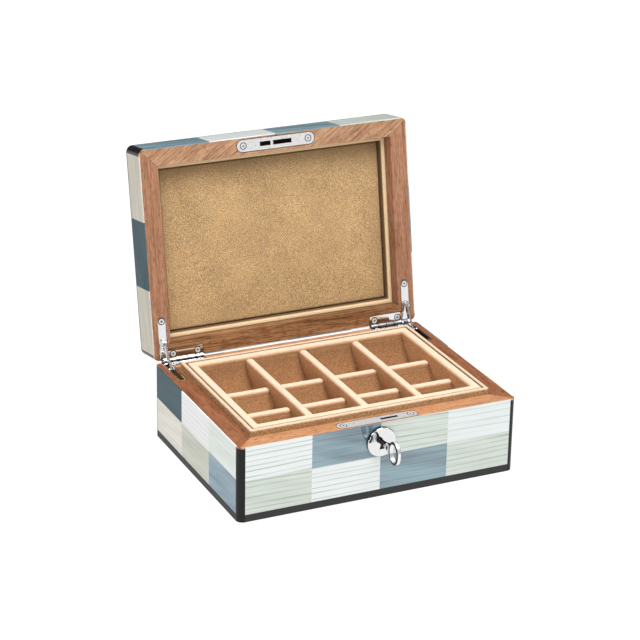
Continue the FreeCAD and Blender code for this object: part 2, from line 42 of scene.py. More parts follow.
# --- the shared frame: hinge line and how far the lid stands open at rest ------------------------
HINGE = Vector((0.0, 0.0956, 0.06935))
LID_OPEN = math.radians(100.0)
OPEN = Matrix.Translation(HINGE) @ Matrix.Rotation(-LID_OPEN, 4, "X") @ Matrix.Translation(-HINGE)
SHUT = OPEN.inverted()
W, D, H, T = 0.260, 0.190, 0.069, 0.0313
Z0 = H + 0.0007


# --- node helpers ----------------------------------------------------------------------------------
class Tree:
    """A material's nodes, with short calls to add them."""

    def __init__(self, name):
        self.mat = bpy.data.materials.new(name)
        self.mat.use_nodes = True
        self.t = self.mat.node_tree
        self.t.nodes.clear()
        self.out = self.t.nodes.new("ShaderNodeOutputMaterial")
        self.bsdf = self.t.nodes.new("ShaderNodeBsdfPrincipled")
        self.t.links.new(self.bsdf.outputs[0], self.out.inputs[0])

    def new(self, kind, **props):
        n = self.t.nodes.new(kind)
        for k, v in props.items():
            setattr(n, k, v)
        return n

    def put(self, socket, value):
        if isinstance(value, bpy.types.NodeSocket):
            self.t.links.new(value, socket)
        elif value is not None:
            socket.default_value = value

    def math(self, op, a, b=None, c=None, clamp=False):
        n = self.new("ShaderNodeMath", operation=op, use_clamp=clamp)
        for s, v in zip(n.inputs, (a, b, c)):
            self.put(s, v)
        return n.outputs[0]

    def vec(self, op, a, b=None, scale=None):
        n = self.new("ShaderNodeVectorMath", operation=op)
        self.put(n.inputs[0], a)
        if b is not None:
            self.put(n.inputs[1], b)
        if scale is not None:
            self.put(n.inputs["Scale"], scale)
        return n.outputs["Value"] if op in ("LENGTH", "DOT_PRODUCT", "DISTANCE") else n.outputs[0]

    def sep(self, v):
        n = self.new("ShaderNodeSeparateXYZ")
        self.put(n.inputs[0], v)
        return n.outputs[0], n.outputs[1], n.outputs[2]

    def com(self, x, y, z):
        n = self.new("ShaderNodeCombineXYZ")
        for s, v in zip(n.inputs, (x, y, z)):
            self.put(s, v)
        return n.outputs[0]

    def noise(self, v, scale=1.0, detail=2.0, rough=0.5, distort=0.0, seed=0.0):
        n = self.new("ShaderNodeTexNoise", noise_dimensions="4D")
        self.put(n.inputs["Vector"], v)
        self.put(n.inputs["W"], seed)
        self.put(n.inputs["Scale"], scale)
        self.put(n.inputs["Detail"], detail)
        self.put(n.inputs["Roughness"], rough)
        self.put(n.inputs["Distortion"], distort)
        return n.outputs["Fac"]

    def ramp(self, fac, stops, ease="LINEAR"):
        n = self.new("ShaderNodeValToRGB")
        r = n.color_ramp
        r.interpolation = ease
        while len(r.elements) < len(stops):
            r.elements.new(0.5)
        for e, (p, c) in zip(r.elements, stops):
            e.position = p
            e.color = (*c, 1.0) if not isinstance(c, (int, float)) else (c, c, c, 1.0)
        self.put(n.inputs[0], fac)
        return n.outputs[0]

    def mix(self, fac, a, b, blend="MIX"):
        n = self.new("ShaderNodeMix", data_type="RGBA", blend_type=blend)
        self.put(n.inputs[0], fac)
        for s, v in ((n.inputs[6], a), (n.inputs[7], b)):
            self.put(s, (*v, 1.0) if isinstance(v, tuple) and len(v) == 3 else v)
        return n.outputs[2]

    def range(self, v, a, b, c=0.0, d=1.0):
        n = self.new("ShaderNodeMapRange")
        for s, x in zip(n.inputs, (v, a, b, c, d)):
            self.put(s, x)
        return n.outputs[0]

    def place(self, lid):
        """Position and normal in the case's own frame, with the lid's brought to where they are when it is shut."""
        tc = self.new("ShaderNodeTexCoord")
        pos, nor = tc.outputs["Object"], tc.outputs["Normal"]
        if lid:
            r = self.new("ShaderNodeVectorRotate", rotation_type="X_AXIS")
            self.put(r.inputs["Vector"], pos)
            self.put(r.inputs["Center"], HINGE)
            self.put(r.inputs["Angle"], LID_OPEN)
            pos = r.outputs[0]
            r = self.new("ShaderNodeVectorRotate", rotation_type="X_AXIS")
            self.put(r.inputs["Vector"], nor)
            self.put(r.inputs["Angle"], LID_OPEN)
            nor = r.outputs[0]
        return pos, nor

    def bump(self, height, strength=0.3, distance=0.0005):
        n = self.new("ShaderNodeBump")
        self.put(n.inputs["Strength"], strength)
        self.put(n.inputs["Distance"], distance)
        self.put(n.inputs["Height"], height)
        return n.outputs[0]

    def set(self, **values):
        for k, v in values.items():
            self.put(self.bsdf.inputs[k.replace("_", " ")], (*v, 1.0) if isinstance(v, tuple) and len(v) == 3 else v)
        return self.mat


# --- materials -------------------------------------------------------------------------------------
def veneer(name, light, dark, lid=False, lines=0.6, thin=0.3, fibre=0.25, pitch=0.0036, gloss=1.5, coat=1.0, seed=0.0, figure=0.1):
    """Straight-grained dyed ash under a clear gloss lacquer. The grain runs along each face's length."""
    m = Tree(name)
    pos, nor = m.place(lid)
    x, y, z = m.sep(pos)
    nx, ny, nz = m.sep(m.vec("ABSOLUTE", nor))
    side = m.math("GREATER_THAN", nx, 0.5)
    top = m.math("GREATER_THAN", nz, 0.5)
    u = m.math("ADD", m.math("MULTIPLY", x, m.math("SUBTRACT", 1.0, side)), m.math("MULTIPLY", y, side))
    v = m.math("ADD", m.math("MULTIPLY", z, m.math("SUBTRACT", 1.0, top)), m.math("MULTIPLY", y, top))
    # a slow wave in the grain, uneven spacing of the year rings, and a shift from face to face
    sway = m.noise(m.com(m.math("MULTIPLY", u, 8.0), m.math("MULTIPLY", v, 14.0), side), 1.0, 1.0, 0.5, 0.0, seed + 3.1)
    v = m.math("ADD", v, m.math("MULTIPLY", m.math("SUBTRACT", sway, 0.5), 0.007))
    space = m.noise(m.com(m.math("MULTIPLY", u, 2.0), m.math("MULTIPLY", v, 130.0), side), 1.0, 1.0, 0.5, 0.0, seed + 6.3)
    v = m.math("ADD", v, m.math("MULTIPLY", m.math("SUBTRACT", space, 0.5), 0.0052))
    v = m.math("ADD", v, m.math("MULTIPLY", side, 0.731))
    turn = m.math("MULTIPLY", v, 2 * math.pi / pitch)
    ring = m.range(m.math("SINE", turn), 0.5, 0.99)
    worn = m.noise(m.com(m.math("MULTIPLY", u, 16.0), m.math("MULTIPLY", v, 190.0), 0.0), 1.0, 2.0, 0.6, 0.0, seed)
    ring = m.math("MULTIPLY", ring, m.range(worn, 0.3, 0.62, 0.15, 1.0))
    fine = m.noise(m.com(m.math("MULTIPLY", u, 9.0), m.math("MULTIPLY", v, 900.0), 0.0), 1.0, 2.0, 0.6, 0.0, seed + 11.0)
    fine = m.range(fine, 0.46, 0.7)
    hair = m.noise(m.com(m.math("MULTIPLY", u, 45.0), m.math("MULTIPLY", v, 3000.0), 0.0), 1.0, 2.0, 0.6, 0.0, seed + 23.0)
    pores = m.noise(m.com(m.math("MULTIPLY", u, 160.0), m.math("MULTIPLY", v, 2250.0), 0.0), 1.0, 1.0, 0.5, 0.0, seed + 31.0)
    pores = m.math("MULTIPLY", m.range(pores, 0.6, 0.74), ring)
    f = m.math("MULTIPLY", ring, lines)
    f = m.math("ADD", f, m.math("MULTIPLY", fine, thin))
    f = m.math("ADD", f, m.math("MULTIPLY", m.math("SUBTRACT", hair, 0.5), fibre))
    f = m.math("ADD", f, m.math("MULTIPLY", pores, 0.25), clamp=True)
    col = m.mix(f, light, dark)
    # broad slanting figure, darker and lighter
    lean = m.math("ADD", v, m.math("MULTIPLY", u, 0.16))
    patch = m.noise(m.com(m.math("MULTIPLY", u, 12.0), m.math("MULTIPLY", lean, 85.0), 0.0), 1.0, 2.0, 0.55, 0.0, seed + 41.0)
    col = m.mix(m.range(patch, 0.42, 0.68, 0.0, figure), col, dark)
    col = m.mix(m.range(patch, 0.46, 0.26, 0.0, figure), col, tuple(min(1.0, c * 1.22) for c in light))
    rough = m.range(hair, 0.3, 0.7, 0.38, 0.54)
    skin = m.noise(pos, 420.0, 2.0, 0.5, 0.0, seed)
    m.put(m.bsdf.inputs["Coat Normal"], m.bump(skin, 0.02, 0.0001))
    return m.set(Base_Color=col, Roughness=rough, Coat_Weight=coat, Coat_Roughness=0.012, Coat_IOR=gloss, Specular_IOR_Level=0.12 * coat)


def mahogany(name, light, mid, dark, along, lid=False, slant=0.0, figure=0.4, seed=0.0, edge=0.6, plate_gap_shadow=False):
    """Open-pored red-brown wood with a satin finish. The grain runs along one axis, at a slant in figured strips."""
    m = Tree(name)
    pos, nor = m.place(lid)
    x, y, z = m.sep(pos)
    in_x = m.math("SUBTRACT", W / 2, m.math("ABSOLUTE", x))
    in_y = m.math("SUBTRACT", D / 2, m.math("ABSOLUTE", y))
    a, b = (x, y) if along == "x" else (y, x)
    if slant:
        c, s = math.cos(slant), math.sin(slant)
        a, b = (m.math("ADD", m.math("MULTIPLY", a, c), m.math("MULTIPLY", b, s)),
                m.math("SUBTRACT", m.math("MULTIPLY", b, c), m.math("MULTIPLY", a, s)))
    b = m.math("ADD", b, m.math("MULTIPLY", z, 0.6))
    sway = m.noise(m.com(m.math("MULTIPLY", a, 14.0), m.math("MULTIPLY", b, 30.0), z), 1.0, 2.0, 0.5, 0.0, seed + 1.0)
    b = m.math("ADD", b, m.math("MULTIPLY", m.math("SUBTRACT", sway, 0.5), 0.004))
    broad = m.noise(m.com(m.math("MULTIPLY", a, 9.0), m.math("MULTIPLY", b, 170.0), 0.0), 1.0, 3.0, 0.6, 0.0, seed)
    streak = m.noise(m.com(m.math("MULTIPLY", a, 30.0), m.math("MULTIPLY", b, 620.0), 0.0), 1.0, 3.0, 0.62, 0.0, seed + 7.0)
    pores = m.noise(m.com(m.math("MULTIPLY", a, 150.0), m.math("MULTIPLY", b, 1500.0), 0.0), 1.0, 2.0, 0.5, 0.0, seed + 13.0)
    pores = m.range(pores, 0.53, 0.65)
    col = m.mix(m.range(broad, 0.32, 0.7), light, mid)
    col = m.mix(m.math("MULTIPLY", m.range(streak, 0.46, 0.72), figure + 0.15), col, dark)
    flame = m.noise(m.com(m.math("MULTIPLY", a, 55.0), m.math("MULTIPLY", b, 90.0), 0.0), 1.0, 2.0, 0.55, 0.6, seed + 19.0)
    col = m.mix(m.math("MULTIPLY", m.range(flame, 0.5, 0.75), figure), col, mid)
    col = m.mix(m.math("MULTIPLY", pores, 0.75), col, dark)
    # the mitres, and a painted highlight along the eased outer edge, where flat faces are made paler
    flat = m.math("GREATER_THAN", m.math("ABSOLUTE", m.sep(nor)[2]), 0.5)
    pale = m.range(m.math("MINIMUM", in_x, in_y), 0.0011, 0.0005, 0.0, edge)
    col = m.mix(m.math("MULTIPLY", pale, flat), col, (0.82, 0.64, 0.46))
    joint = m.range(m.math("ABSOLUTE", m.math("SUBTRACT", in_x, in_y)), 0.0004, 0.00015, 0.0, 0.55)
    col = m.mix(joint, col, dark)
    if plate_gap_shadow:
        # painted shadow: a dark line in the gap round the lock plate that is let into the wood
        dx = m.math("MAXIMUM", m.math("SUBTRACT", m.math("ABSOLUTE", x), 0.0323), 0.0)
        far = m.vec("LENGTH", m.com(dx, m.math("ADD", y, 0.087), 0.0))
        gap_shadow_line = m.range(m.math("SUBTRACT", far, 0.0053), 0.00085, 0.0003, 0.0, 0.9)
        col = m.mix(m.math("MULTIPLY", gap_shadow_line, flat), col, (0.030, 0.018, 0.012))
    m.put(m.bsdf.inputs["Normal"], m.bump(m.math("SUBTRACT", m.math("MULTIPLY", streak, 0.5), pores), 0.16, 0.00012))
    return m.set(Base_Color=col, Roughness=m.range(streak, 0.3, 0.75, 0.42, 0.58), Specular_IOR_Level=0.16, Coat_Weight=0.03, Coat_Roughness=0.2)


def lacquer(name, colour, coat=0.5, lid=False):
    """Black gloss lacquer on wood: a trace of brown where it thins at the grain, and a faint ripple."""
    m = Tree(name)
    pos, nor = m.place(lid)
    grain = m.noise(m.vec("MULTIPLY", pos, (60.0, 60.0, 60.0)), 8.0, 3.0, 0.6, 0.0, 2.0)
    col = m.mix(m.range(grain, 0.4, 0.8, 0.0, 0.5), colour, (0.020, 0.019, 0.017))
    m.put(m.bsdf.inputs["Coat Normal"], m.bump(m.noise(pos, 300.0, 2.0), 0.03, 0.0001))
    return m.set(Base_Color=col, Roughness=m.range(grain, 0.3, 0.7, 0.3, 0.42), Specular_IOR_Level=0.1, Coat_Weight=coat, Coat_Roughness=0.05)


def metal(name, colour, rough, scratch=0.4, lid=False, metallic=1.0):
    """Polished plating with faint hairline marks and slight unevenness."""
    m = Tree(name)
    pos, nor = m.place(lid)
    hair = m.noise(m.vec("MULTIPLY", pos, (700.0, 2600.0, 2600.0)), 1.0, 3.0, 0.6, 0.0, 5.0)
    cloud = m.noise(pos, 160.0, 3.0, 0.5, 0.0, 9.0)
    r = m.math("ADD", m.range(hair, 0.45, 0.8, 0.0, rough * scratch), m.range(cloud, 0.3, 0.7, rough * 0.7, rough * 1.3))
    col = m.mix(m.range(cloud, 0.35, 0.75, 0.0, 0.35), colour, tuple(c * 0.9 for c in colour))
    m.put(m.bsdf.inputs["Normal"], m.bump(cloud, 0.02, 0.0003))
    return m.set(Base_Color=col, Roughness=r, Metallic=metallic)


def suede(name, side, top, lid=False, up=(0.0, 0.0, 1.0), seed=0.0, grain=0.5, sheen=0.10, calm=0.75, seams=(), shade=0.0, deep=None, fine=0.0):
    """Short-napped suede: painted light makes it paler on tops and rolled edges; the nap lies in short crossed strokes
    on the flats.
    seams: painted shade along where it is tucked in, as (half width, half depth of a rectangle, distance in from it,
    reach, strength)."""
    m = Tree(name)
    pos, nor = m.place(lid)
    x, y, z = m.sep(pos)
    facing = m.vec("DOT_PRODUCT", nor, up)
    edge = m.noise(pos, 260.0, 2.0, 0.6, 0.0, seed + 2.0)
    # painted light: faces turned up, and rolled edges, mix towards the paler top colour
    painted_top_light = m.range(m.math("ADD", facing, m.math("MULTIPLY", m.math("SUBTRACT", edge, 0.5), 0.35)), 0.2, 0.95)
    base = m.mix(painted_top_light, side, top)
    k = m.math("MULTIPLY", m.math("SUBTRACT", m.noise(pos, 30.0, 3.0, 0.55, 0.0, seed), 0.5), 0.3 + 0.45 * fine)
    for i, sn in enumerate((0.64, -0.64)):
        cs = 0.768
        a = m.math("ADD", m.math("ADD", m.math("MULTIPLY", x, cs), m.math("MULTIPLY", y, sn)), m.math("MULTIPLY", z, 0.5 * sn))
        b = m.math("ADD", m.math("SUBTRACT", m.math("MULTIPLY", y, cs), m.math("MULTIPLY", x, sn)), m.math("MULTIPLY", z, 0.8))
        stroke = m.noise(m.com(m.math("MULTIPLY", a, 560.0 * (1.0 + 0.7 * fine)), m.math("MULTIPLY", b, 1250.0 * (1.0 + 0.4 * fine)), m.math("MULTIPLY", z, 500.0)), 1.0, 2.0, 0.6, 0.3, seed + 5.0 + 4.0 * i)
        k = m.math("ADD", k, m.math("MULTIPLY", m.math("SUBTRACT", stroke, 0.5), (2.4 - 0.5 * fine) * grain))
    speck = m.noise(pos, 1500.0, 2.0, 0.6, 0.0, seed + 9.0)
    k = m.math("ADD", k, m.math("MULTIPLY", m.math("SUBTRACT", speck, 0.5), (1.1 + 2.6 * fine) * grain))
    k = m.math("MULTIPLY", k, m.range(painted_top_light, 0.0, 1.0, 1.0, 1.0 - calm))
    col = m.vec("SCALE", base, scale=m.range(k, -0.6, 0.6, 0.45, 1.5))
    # painted shade: darker near each seam line
    for hx, hy, at, reach, strength in seams:
        u = m.math("MINIMUM", m.math("SUBTRACT", hx, m.math("ABSOLUTE", x)), m.math("SUBTRACT", hy, m.math("ABSOLUTE", y)))
        col = m.mix(m.range(m.math("ABSOLUTE", m.math("SUBTRACT", u, at)), 0.0, reach, strength, 0.0), col, tuple(c * 0.22 for c in side))
    if shade:
        # painted shadow of the lid's front rim: darker towards the front of the lid
        col = m.mix(m.range(m.math("ADD", y, m.math("MULTIPLY", m.math("SUBTRACT", edge, 0.5), 0.006)), -0.048, -0.074, 0.0, shade), col, tuple(c * 0.42 for c in side))
    if deep:
        # darker towards the top, as (lower, upper, strength)
        col = m.mix(m.range(m.math("ADD", z, m.math("MULTIPLY", m.math("SUBTRACT", edge, 0.5), 0.004)), deep[0], deep[1], 0.0, deep[2]), col, tuple(c * 0.35 for c in side))
    m.put(m.bsdf.inputs["Normal"], m.bump(k, 0.4, 0.0005))
    return m.set(Base_Color=col, Roughness=0.95, Specular_IOR_Level=0.06, Sheen_Weight=sheen, Sheen_Roughness=0.45,
                 Sheen_Tint=(1.0, 0.86, 0.68))


def felt(name, colour):
    m = Tree(name)
    pos, nor = m.place(False)
    fuzz = m.noise(pos, 900.0, 4.0, 0.7, 0.5, 1.0)
    cloud = m.noise(pos, 60.0, 2.0, 0.5, 0.0, 4.0)
    col = m.mix(m.range(m.math("ADD", fuzz, m.math("MULTIPLY", cloud, 0.4)), 0.45, 0.95), colour, tuple(c * 2.2 for c in colour))
    m.put(m.bsdf.inputs["Normal"], m.bump(fuzz, 0.5, 0.0006))
    return m.set(Base_Color=col, Roughness=1.0, Specular_IOR_Level=0.05, Sheen_Weight=0.3)


def board(name):
    """Fibre board, which only shows at a cut edge."""
    m = Tree(name)
    pos, nor = m.place(False)
    f = m.noise(pos, 900.0, 4.0, 0.7, 0.0, 1.0)
    col = m.mix(f, (0.30, 0.20, 0.12), (0.50, 0.37, 0.24))
    m.put(m.bsdf.inputs["Normal"], m.bump(f, 0.3, 0.0003))
    return m.set(Base_Color=col, Roughness=0.85)


DYES = {
    # name: how the clear wood and the rings look, how strong the rings, thin lines and fibres are, ring pitch, figure
    "white": ((0.86, 0.91, 0.90), (0.42, 0.44, 0.40), 0.72, 0.10, 0.16, 0.0047, 0.06),
    "chalk": ((0.84, 0.90, 0.89), (0.52, 0.56, 0.54), 0.46, 0.16, 0.16, 0.0054, 0.12),
    "sage": ((0.70, 0.77, 0.71), (0.36, 0.38, 0.29), 0.58, 0.18, 0.24, 0.0051, 0.20),
    "blue": ((0.30, 0.42, 0.465), (0.095, 0.165, 0.205), 0.34, 0.36, 0.50, 0.0062, 0.50),
    "slate": ((0.098, 0.150, 0.170), (0.030, 0.055, 0.068), 0.40, 0.45, 0.45, 0.0050, 0.30),
    "cream": ((0.70, 0.66, 0.57), (0.36, 0.32, 0.25), 0.52, 0.30, 0.26, 0.0046, 0.20),
    "mist": ((0.77, 0.82, 0.775), (0.46, 0.50, 0.45), 0.50, 0.18, 0.22, 0.0052, 0.24),
    "ivory": ((0.79, 0.765, 0.705), (0.48, 0.45, 0.38), 0.50, 0.20, 0.24, 0.0048, 0.28),
    "stone": ((0.63, 0.645, 0.565), (0.36, 0.36, 0.29), 0.52, 0.22, 0.26, 0.0050, 0.28),
    "sky": ((0.37, 0.46, 0.52), (0.15, 0.23, 0.29), 0.40, 0.30, 0.40, 0.0060, 0.45),
}
VENEER = {}
# lacquer on each group of faces: its index, how much of it there is, what it adds by reflection, a gain, and how
# clearly the grain shows; the gain is painted light and shade, making the same dye lighter on the base's sides and
# darker on the lid's faces
GROUPS = {"base": (1.5, 1.0, 0.05, 1.0, 1.0), "front": (2.1, 1.0, 0.13, 1.0, 1.0), "side": (1.5, 0.28, 0.07, 1.14, 0.38), "lid": (1.5, 0.7, 0.05, 0.92, 0.9),
          "lid_side": (1.5, 0.10, 0.02, 0.98, 0.6)}


def dyed(n, group):
    """The veneer of one dye in one group of faces."""
    if (n, group) not in VENEER:
        k, i = list(GROUPS).index(group), list(DYES).index(n)
        gloss, coat, adds, painted_light_gain, clear = GROUPS[group]
        a, b, lines, thin, fibre, pitch, figure = DYES[n]
        # painted light and shade: the gain brightens or darkens the dye by the group of faces it is on
        a, b = [tuple(min(0.9, max(0.01, (c - adds) * painted_light_gain)) for c in q) for q in (a, b)]
        VENEER[n, group] = veneer("%s_veneer_%s" % (group, n), a, b, group.startswith("lid"), lines * clear, thin * clear, fibre, pitch, gloss, coat,
                                  1.7 + 5.3 * i + 60.0 * k, figure)
    return VENEER[n, group]


RED = dict(light=(0.64, 0.33, 0.165), mid=(0.45, 0.205, 0.095), dark=(0.17, 0.060, 0.024))
WARM = dict(light=(0.565, 0.341, 0.204), mid=(0.387, 0.206, 0.112), dark=(0.150, 0.067, 0.033))
MAHOGANY = {
    ("x", False): mahogany("mahogany_front", along="x", figure=0.6, seed=2.0, plate_gap_shadow=True, **RED),
    ("y", False): mahogany("mahogany_side", (0.36, 0.150, 0.072), (0.235, 0.082, 0.036), (0.070, 0.022, 0.009), "y", figure=0.75, seed=9.0),
    ("x", True): mahogany("lid_mahogany_front", along="x", lid=True, slant=math.radians(-32), figure=0.95, seed=21.0, plate_gap_shadow=True, **WARM),
    # painted shade: the lid's back rim is a darker copy of the lid's wood, for the shade it lies in when open
    ("b", True): mahogany("lid_mahogany_back_shaded", (0.475, 0.243, 0.110), (0.199, 0.083, 0.032), (0.051, 0.019, 0.007), "x", lid=True, figure=0.9, seed=27.0),
    ("y", True): mahogany("lid_mahogany_side", (0.48, 0.245, 0.145), (0.33, 0.155, 0.085), (0.12, 0.050, 0.026), "y", lid=True, figure=0.7, seed=33.0),
}
# painted shade for the faces cut inside the rim's recesses and slots
CUT_WOOD_SHADE = lacquer("cut_wood_shade", (0.050, 0.026, 0.014), 0.0)
BLACK = lacquer("black_lacquer", (0.006, 0.006, 0.006), 0.28)
BLACK_BAND = lacquer("black_lacquer_band", (0.008, 0.008, 0.008), 0.7)
BLACK_SIDE = lacquer("black_lacquer_side", (0.006, 0.006, 0.006), 0.04)
SLOT_WOOD_SHADE = lacquer("slot_wood_shade", (0.17, 0.100, 0.062), 0.0)
CHROME = metal("chrome", (0.74, 0.74, 0.745), 0.035)
SATIN = metal("satin_nickel", (0.50, 0.515, 0.53), 0.30, metallic=0.2)
STEEL = metal("plain_steel", (0.52, 0.52, 0.53), 0.24)
# dark steel, also used as painted shade in recesses, gaps and sunk screw heads
DARK_STEEL_SHADE = metal("dark_steel_shade", (0.035, 0.034, 0.033), 0.4)
SHADE_CHROME = metal("shaded_chrome", (0.020, 0.020, 0.022), 0.16)
HALF_CHROME = metal("half_shaded_chrome", (0.16, 0.16, 0.165), 0.16)
BOW_CHROME = metal("bow_chrome", (0.84, 0.84, 0.85), 0.22, metallic=0.6)
PLATE = metal("plate_nickel", (0.70, 0.70, 0.70), 0.28, metallic=0.3)
SCREW = metal("bright_screw", (0.80, 0.79, 0.78), 0.30, metallic=0.35)
# painted light: the top colour is a lit copy of the side colour
SUEDE_SIDE, SUEDE_TOP_LIT = (0.54, 0.282, 0.134), (0.765, 0.605, 0.450)
SUEDE = suede("tan_suede", SUEDE_SIDE, SUEDE_TOP_LIT)
SUEDE_LIP = suede("lip_suede", (0.410, 0.235, 0.110), (0.735, 0.565, 0.410), seed=3.0, grain=1.0, seams=((0.1125, 0.0780, 0.0040, 0.0009, 0.8),))
SUEDE_TRAY = suede("tray_suede", SUEDE_SIDE, SUEDE_TOP_LIT, seed=6.0, seams=((0.1079, 0.0734, 0.0, 0.0009, 0.8),))
SUEDE_LID = suede("lid_tan_suede", (0.520, 0.343, 0.171), (0.520, 0.343, 0.171), lid=True, up=(0.0, 0.0, -1.0), seed=12.0, grain=1.0, calm=0.0, shade=0.5, fine=1.0,
                  seams=((0.1078, 0.0735, 0.0, 0.0020, 0.85),))
SUEDE_SLOPE = suede("cell_slope_suede", (0.36, 0.178, 0.080), (0.36, 0.178, 0.080), seed=8.0, grain=0.8, calm=0.0, deep=(0.050, 0.068, 0.42))
SUEDE_STRIP = suede("lid_strip_suede", (0.50, 0.30, 0.145), (0.86, 0.65, 0.40), lid=True, up=(0.0, 0.0, -1.0), seed=17.0,
                    seams=((0.1132, 0.0789, 0.0, 0.0013, 0.9), (0.1132, 0.0789, 0.0050, 0.0010, 0.9)))
FELT = felt("dark_felt", (0.02, 0.02, 0.022))
BOARD = board("fibre_board")


# --- finish of the CAD pieces ------------------------------------------------------------------------
def dress(node, *mats):
    o = N[node]
    o.data.materials.clear()
    for m in mats:
        o.data.materials.append(m)
    return o


# colours of the tiles, left to right and top to bottom as seen from outside each face
LAYOUT = {
    "base_front_veneer": [["white", "blue", "sage", "chalk"], ["sage", "white", "blue", "sage"]],
    "base_back_veneer": [["blue", "chalk", "sage", "slate"], ["white", "sage", "blue", "cream"]],
    "base_left_veneer": [["slate", "white", "mist"], ["ivory", "stone", "sky"]],
    "base_right_veneer": [["sage", "white", "blue"], ["blue", "cream", "chalk"]],
    "lid_front_veneer": [["blue", "white", "blue", "sage"]],
    "lid_back_veneer": [["chalk", "blue", "cream", "blue"]],
    "lid_left_veneer": [["cream", "slate", "cream"]],
    "lid_right_veneer": [["cream", "blue", "white"]],
    "lid_top_veneer": [["chalk", "blue", "sage", "white"], ["slate", "white", "blue", "cream"], ["blue", "cream", "white", "sage"]],
}


SEAM_X, SEAM_Y, SEAM_Z = (-0.0636, 0.0, 0.0636), (-0.0307, 0.0307), 0.0388


def tile(node, p):
    """The colour of the tile that a point of a veneered face, with the lid shut, lies on."""
    rows = LAYOUT[node]
    face = node.split("_")[1]
    along, seams = {"front": (p.x, SEAM_X), "back": (-p.x, SEAM_X), "left": (-p.y, SEAM_Y), "right": (p.y, SEAM_Y), "top": (p.x, SEAM_X)}[face]
    c = sum(along > s for s in seams)
    if face == "top":
        r = sum(-p.y > s for s in SEAM_Y)
    else:
        r = 1 if len(rows) > 1 and p.z < SEAM_Z else 0
    return rows[r][c]


for node in LAYOUT:
    lid = node.startswith("lid")
    group = ("lid_side" if lid else "side") if "_left_" in node or "_right_" in node else "lid" if lid else "front" if node == "base_front_veneer" else "base"
    names = sorted({n for row in LAYOUT[node] for n in row})
    o = dress(node, *[dyed(n, group) for n in names])
    for p in o.data.polygons:
        c = SHUT @ p.center if lid else p.center
        p.material_index = names.index(tile(node, c))

for node in ("base_rim", "lid_rim"):
    lid = node == "lid_rim"
    mats = [MAHOGANY["x", lid], MAHOGANY["y", lid]] + ([MAHOGANY["b", True]] if lid else []) + [SLOT_WOOD_SHADE, CUT_WOOD_SHADE]
    o = dress(node, *mats)
    for p in o.data.polygons:
        c = SHUT @ p.center if lid else p.center
        # which side of the mitre the face is on
        side = D / 2 - abs(c.y) > W / 2 - abs(c.x)
        p.material_index = 1 if side else (2 if lid and c.y > 0 else 0)
        # painted shade: the faces cut for what is let into the rim are dark, and less dark in the left slot
        ix, iy = (0.1132, 0.0789) if lid else (0.1125, 0.0780)
        face = Z0 if lid else H
        skin = abs(c.z - face) < 0.00004 or abs(abs(c.x) - ix) < 0.00004 or abs(abs(c.y) - iy) < 0.00004 or abs(c.x) > W / 2 - 0.0011 or abs(c.y) > D / 2 - 0.0011
        if not skin:
            p.material_index = len(mats) - (2 if not lid and c.x < -0.116 and c.y < 0.09 else 1)

for node in ("base_corner_posts", "lid_corner_posts", "lid_edge_stringing"):
    dress(node, BLACK)
o = dress("base_edge_band", BLACK_BAND, BLACK_SIDE)
for p in o.data.polygons:
    p.material_index = 1 if abs(p.normal.x) > 0.5 else 0
for node in ("lock_faceplate_screws", "strike_plate", "strike_screws", "escutcheon", "key", "left_hinge_base_leaf",
             "right_hinge_base_leaf", "left_hinge_lid_leaf", "right_hinge_lid_leaf", "hinge_base_screws", "hinge_lid_screws",
             "stay_pivot_pins", "left_stay_arm", "right_stay_arm"):
    dress(node, CHROME)
dress("lock_faceplate", SATIN, DARK_STEEL_SHADE)
dress("strike_plate", PLATE)
# painted shade on the eased edge round each countersunk screw, and on the sunk faces of the lock faceplate and strike
# plate
SCREWS = [(x * k, y) for x, y in ((0.1113, 0.0900), (0.0878, 0.0900), (0.1202, 0.0593)) for k in (-1, 1)] + [(-0.0315, -0.0870), (0.0315, -0.0870)]
for node in ("lock_faceplate", "strike_plate", "left_hinge_base_leaf", "right_hinge_base_leaf", "left_hinge_lid_leaf", "right_hinge_lid_leaf"):
    o = N[node]
    if len(o.data.materials) < 2:
        o.data.materials.append(DARK_STEEL_SHADE)
        o.data.materials.append(HALF_CHROME)
    lid = node == "strike_plate" or "lid" in node
    for p in o.data.polygons:
        c = SHUT @ p.center if lid else p.center
        deep = (c.z - Z0) if lid else (H - c.z)
        # painted shade on the ends of the hinge's knuckles, and a painted dark reflection on their undersides
        if "hinge" in node and math.hypot(c.y - HINGE.y, c.z - HINGE.z) < 0.0028:
            if abs(p.normal.x) > 0.9:
                p.material_index = 1
            elif p.normal.z < 0.15:
                p.material_index = 2
        if 0.00005 < deep < 0.0018 and (node in ("lock_faceplate", "strike_plate") or min(math.hypot(c.x - x, c.y - y) for x, y in SCREWS) < 0.0033):
            p.material_index = 1
for node in ("lock_faceplate_screws", "strike_screws", "hinge_base_screws", "hinge_lid_screws"):
    o = dress(node, SCREW, DARK_STEEL_SHADE)
    lid = node in ("strike_screws", "hinge_lid_screws")
    for p in o.data.polygons:
        c = SHUT @ p.center if lid else p.center
        # painted shade: the parts of each screw head below the surface are dark
        if ((c.z - Z0) if lid else (H - c.z)) > 0.00005:
            p.material_index = 1
# painted shade: the lock case is dark so that the keyhole shows black
dress("lock_case", DARK_STEEL_SHADE)
for node in ("lock_plug", "hook_pivot_pin"):
    dress(node, STEEL)
for node in ("hook_bolt", "hinge_pins"):
    dress(node, DARK_STEEL_SHADE)
